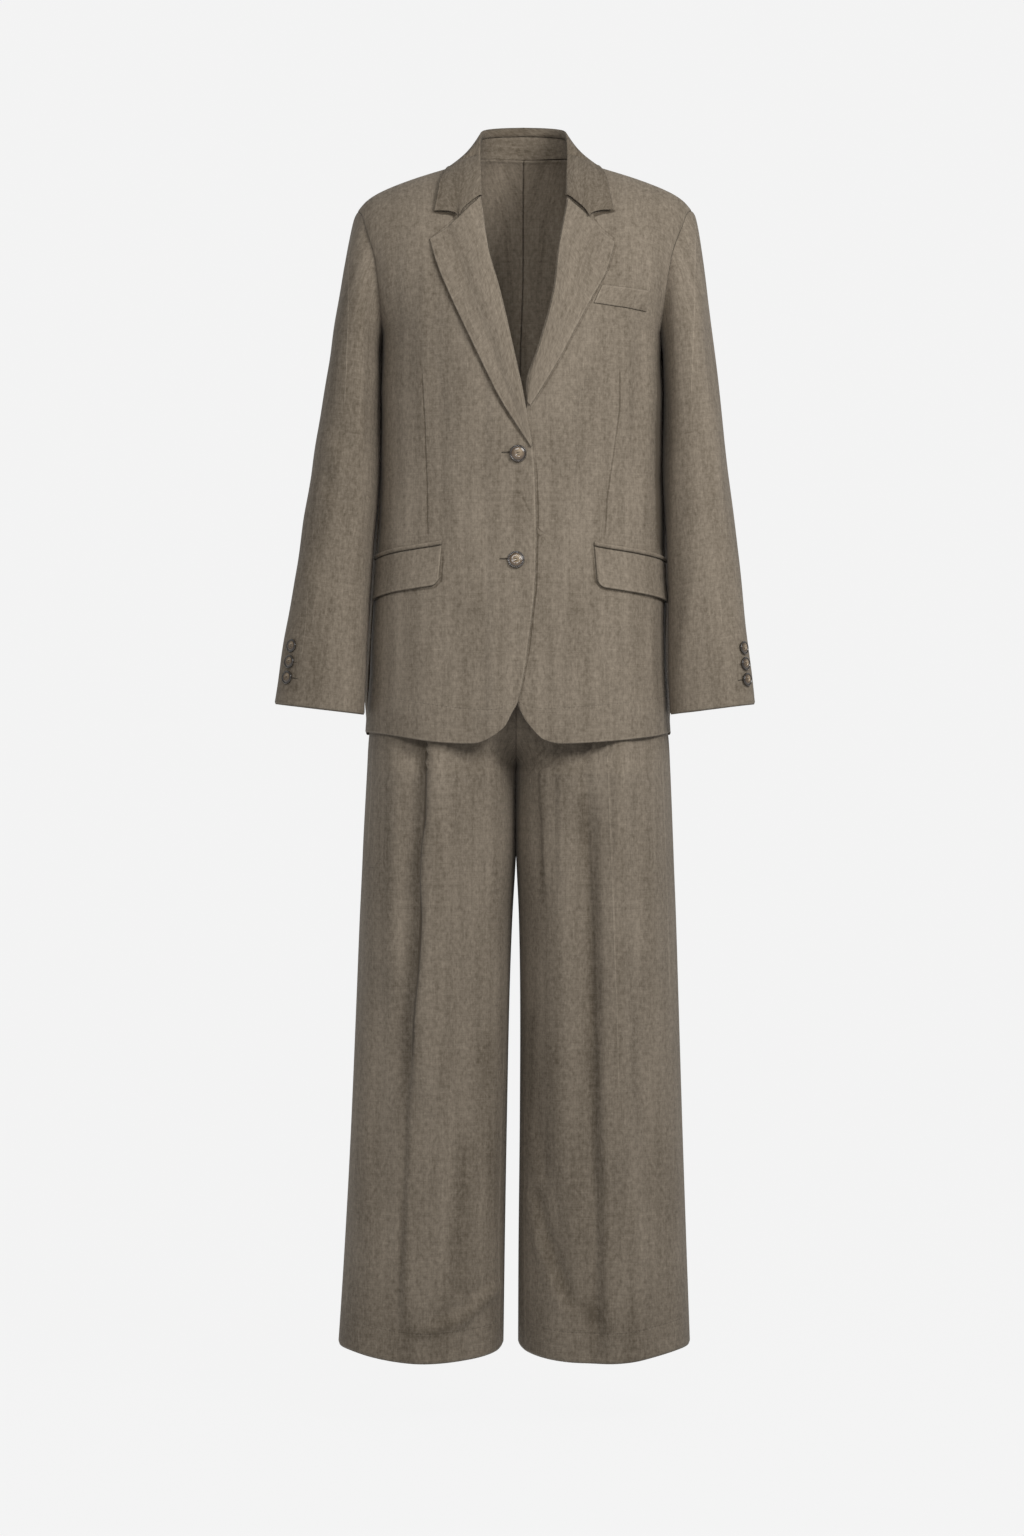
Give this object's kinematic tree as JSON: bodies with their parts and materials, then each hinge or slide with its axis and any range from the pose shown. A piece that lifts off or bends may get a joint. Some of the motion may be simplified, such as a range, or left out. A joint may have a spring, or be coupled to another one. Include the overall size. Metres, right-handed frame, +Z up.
{
  "type": "linen suit, jacket and trousers",
  "caption": "Linen jacket closed by two buttons, with notched lapels and flap pockets, over wide pleated trousers, filled out with no wearer.",
  "frame": {"origin": "between the wearer's shoulders, level with the side of the neck, at mid depth", "axes": "+X to the wearer's left, the front faces -Y, +Z up"},
  "size_m": [0.5794, 0.2804, 1.51],
  "materials": {
    "linen": "matte slubbed plain weave",
    "horn": "polished brown horn look"
  },
  "bodies": {
    "root": {"jacket_front_right": "linen", "jacket_front_left": "linen", "jacket_back_right": "linen", "jacket_back_left": "linen", "sleeve_top_right": "linen", "sleeve_under_right": "linen", "sleeve_top_left": "linen", "sleeve_under_left": "linen", "collar_fall": "linen", "collar_stand": "linen", "lapel_right": "linen", "lapel_left": "linen", "flap_right": "linen", "flap_left": "linen", "jet_right": "linen", "jet_left": "linen", "breast_welt": "linen", "trouser_front_right": "linen", "trouser_front_left": "linen", "trouser_back_right": "linen", "trouser_back_left": "linen", "waistband": "linen", "front_button_1": "horn", "front_button_2": "horn", "cuff_button_right_1": "horn", "cuff_button_right_2": "horn", "cuff_button_right_3": "horn", "cuff_button_left_1": "horn", "cuff_button_left_2": "horn", "cuff_button_left_3": "horn"}
  },
  "joints": []
}
